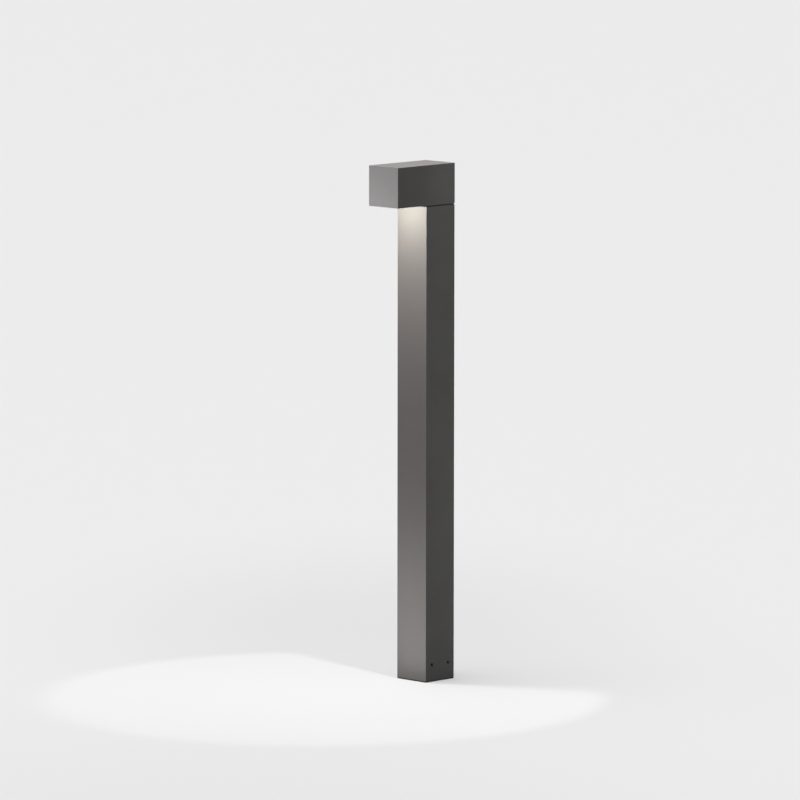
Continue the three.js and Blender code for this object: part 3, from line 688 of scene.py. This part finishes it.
def smooth_path(points):
    """A smooth curve through the points, in ten steps between each two of them."""
    last = len(points) - 1
    path = []
    for i in range(last):
        start, end = points[i], points[i + 1]
        before, after = points[max(i - 1, 0)], points[min(i + 2, last)]
        reach = (end - start).length / 3
        lead_out = start + (end - before).normalized() * reach
        lead_in = end - (after - start).normalized() * reach
        path += interpolate_bezier(start, lead_out, lead_in, end, 11)[:-1]
    return path + [points[-1]]


def add_lead(node, radius, route):
    """A round cable with trimmed ends, along (y, z) places in the light's middle plane."""
    path = smooth_path([Vector((0, y, z)) for y, z in route])
    rings = []
    for i, place in enumerate(path):
        along = (path[min(i + 1, len(path) - 1)] - path[max(i - 1, 0)]).normalized()
        across = along.cross(RIGHT)
        rings.append([place + p.x * RIGHT + p.y * across for p in circle(radius, 0)])
    stands_for(to_object("smooth_" + node, skin(rings)), node)


def add_leads():
    """The two leads inside: from plug to driver, and from driver to the light's board."""
    driver_y, plug_y = -9.95 * MM, 11 * MM
    low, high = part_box("supply_lead")
    top, bottom = high.z, low.z
    add_lead("supply_lead", 3.5 * MM, [
        (driver_y, top), (driver_y, top - 0.030), (-0.004, top - 0.100), (0.014, top - 0.190),
        (0.018, top - 0.260), (0.013, bottom + 0.060), (plug_y, bottom + 0.020), (plug_y, bottom),
    ])
    board_y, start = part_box("led_lead")[0].yz
    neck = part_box("head_housing")[0].z
    add_lead("led_lead", 2 * MM, [
        (driver_y, start), (driver_y, start + 0.015), (-0.003, start + 0.041),
        (0, neck - 0.014), (0, neck), (0, neck + 0.014), (-0.005, neck + 0.030),
        (-0.017, neck + 0.041), (-0.030, neck + 0.045), (board_y, neck + 0.045),
    ])


# ---------------------------------------------------------------- stage


def add_floor():
    """A plain pale floor with painted shade: its colour is a little darker behind the light and in
    front of it.
    """
    half, grey = 60, 0.81
    corners = [(-half, -half, 0), (half, -half, 0), (half, half, 0), (-half, half, 0)]
    mesh = bpy.data.meshes.new("floor")
    mesh.from_pydata(corners, [], [(0, 1, 2, 3)])
    floor = bpy.data.objects.new("floor", mesh)
    bpy.context.scene.collection.objects.link(floor)
    s = Surface("pale_floor", (grey, grey, grey), 0.9)
    # painted shade: two soft darker patches in the floor's colour, one behind the light and one in
    # front of it
    turn = math.radians(44.5)
    behind = s.away((-0.455, 0.346, 0), (0.77, 1.39, 1), turn)
    before = s.away((0.976, -1.424, 0), (1.4, 2.0, 1), turn)
    painted_shade = s.node("ShaderNodeMath", operation="MULTIPLY")
    s.link(s.spread(behind, 0.917 * grey, grey, 0, 1, "SMOOTHSTEP"), painted_shade.inputs[0])
    s.link(s.spread(before, 0.94, 1.0, 0, 1, "SMOOTHSTEP"), painted_shade.inputs[1])
    s.link(painted_shade.outputs["Value"], s.shader.inputs["Base Color"])
    mesh.materials.append(s.material)
    floor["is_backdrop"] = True
    return floor


def add_world(seen, lighting):
    """A plain pale studio: one brightness behind everything, and a lower one that lights it."""
    world = bpy.data.worlds.new("studio")
    world.use_nodes = True
    tree = world.node_tree
    background = tree.nodes["Background"]
    background.inputs["Color"].default_value = (1, 1, 1, 1)
    mix = tree.nodes.new("ShaderNodeMix")
    mix.inputs["A"].default_value = lighting
    mix.inputs["B"].default_value = seen
    path = tree.nodes.new("ShaderNodeLightPath")
    tree.links.new(path.outputs["Is Camera Ray"], mix.inputs["Factor"])
    tree.links.new(mix.outputs["Result"], background.inputs["Strength"])
    bpy.context.scene.world = world


def plain_colors():
    """Shown brightness follows the light as it is, without a film look."""
    view = bpy.context.scene.view_settings
    view.view_transform = "Standard"
    view.look = "None"


# ---------------------------------------------------------------- lights

# Places, powers and these slight tints are fitted to the photograph's tones, face by face
WHITE, COOL, WARM = (1, 1, 1), (0.985, 0.985, 1.035), (1.02, 1.0, 0.96)


def add_light(name, kind, receivers, place, aim, power, color=WHITE, glossy=True, **settings):
    """A light at a place, turned to what it aims at, that reaches only its receivers."""
    data = bpy.data.lights.new(name, kind)
    data.energy = power
    data.color = color
    for key, value in settings.items():
        setattr(data, key, value)
    light = bpy.data.objects.new(name, data)
    light.location = place
    light.rotation_euler = (Vector(place) - Vector(aim)).to_track_quat("Z", "Y").to_euler()
    light.visible_glossy = glossy
    bpy.context.scene.collection.objects.link(light)
    group = bpy.data.collections.new("lit_by_" + name)
    for receiver in receivers:
        group.objects.link(receiver)
    light.light_linking.receiver_collection = group
    return light


def light_floor(floor):
    """Even light on the floor: part of it casts the soft contact shadow, the rest casts none."""
    sky, wide = ((-1, -1, 4), (0, 0, 0)), math.radians(60)
    add_light("floor_sun", "SUN", [floor], *sky, 0.95, angle=wide)
    add_light("floor_even", "SUN", [floor], *sky, 2.20, angle=wide, use_shadow=False)


def light_like_lamp(post, floor):
    """What the lit lamp does: a warm glow down the post's front and a round pool on the ground."""
    foot, level = (0, 0, 0), 0.826
    glow = {"glossy": False, "shadow_soft_size": 0.01}
    pool = {"glossy": False, "shadow_soft_size": 0.004,
            "spot_size": math.radians(61.8), "spot_blend": 0.2}
    near, far = (0, -0.10, level), (0, -0.30, level)
    pool_from, pool_to = (0.0145, -0.045, 0.829), (0.0145, -0.211, 0)
    for light in (
        add_light("glow_near", "POINT", post, near, foot, 3.10, (0.98, 1.0, 0.88), **glow),
        add_light("glow_far", "POINT", post, far, foot, 15.6, (1.0, 0.915, 0.932), **glow),
        add_light("ground_pool", "SPOT", [floor], pool_from, pool_to, 4.7, **pool),
    ):
        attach(light, "post")


def soft_box(name, receivers, place, aim, power, width, height=None, color=WHITE, glossy=False):
    """A glowing panel, square unless it has a height of its own."""
    panel = {"shape": "RECTANGLE", "size": width, "size_y": height or width}
    add_light(name, "AREA", receivers, place, aim, power, color, glossy, **panel)


def light_side(pieces, post):
    """Soft light from the right and behind, which also gives the right side its gloss."""
    gloss = {"color": WARM, "glossy": True}
    soft_box("side_strip", pieces, (0.20, 0.20, 0.45), (0.035, 0, 0.45), 0.156, 0.05, 0.95, **gloss)
    soft_box("side_high", post, (0.25, 0.15, 0.95), (0.035, 0, 0.87), 0.08, 0.08, **gloss)


def light_post_front(post):
    """The lit ground's reflection on the lower part of the post's front."""
    soft_box("ground_bounce", post, (0, -0.185, 0.004), (0, -0.185, 1), 0.688, 0.06, 0.20)
    soft_box("foot_near", post, (-0.01, -0.285, 0.12), (-0.01, -0.035, 0.12), 1.80, 0.1)
    soft_box("foot_far", post, (-0.01, -0.435, 0.16), (-0.01, -0.035, 0.16), 0.43, 0.1)


def light_head(head):
    """The head's front from below, its top from above and its right side from the right."""
    front, left_of_it = (0, -0.105, 0.865), (-0.01, -0.105, 0.865)
    soft_box("head_far", head, (-0.27, -2.2, 0.3), (0, -0.1, 0.86), 153, 0.6, color=COOL)
    soft_box("head_low", head, (-0.03, -0.42, 0.62), front, 1.58, 0.12, color=COOL)
    soft_box("head_left", head, (-0.08, -0.28, 0.76), left_of_it, 1.39, 0.08, color=COOL)
    soft_box("head_top", head, (0, -0.035, 2.4), (0, -0.035, 0.9), 221, 0.1)
    soft_box("head_side", head, (0.115, 0.035, 0.88), (0.035, 0.035, 0.88), 0.027, 0.04, 0.10,
             color=WARM)


def light_rear(pieces):
    """A weak fill for the left side and the back, which the photograph doesn't show."""
    soft_box("rear_fill", pieces, (-2.2, 0.9, 1.2), (0, 0, 0.45), 60, 1.0)


# ---------------------------------------------------------------- the scene

add_camera()
plain_colors()

for cad_node in NODES.values():
    refine(cad_node)
add_screws()
post_shell = add_post_tube()
add_lens_array()
add_reflector()
for gland in ("cable_gland_left", "cable_gland_right"):
    add_gland(gland)
add_leads()

stage_floor = add_floor()
add_world(seen=0.838, lighting=0.12)
all_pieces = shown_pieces()
light_floor(stage_floor)
light_like_lamp([post_shell], stage_floor)
light_side(all_pieces, [post_shell])
light_post_front([post_shell])
light_head([NODES["head_housing"]])
light_rear(all_pieces)
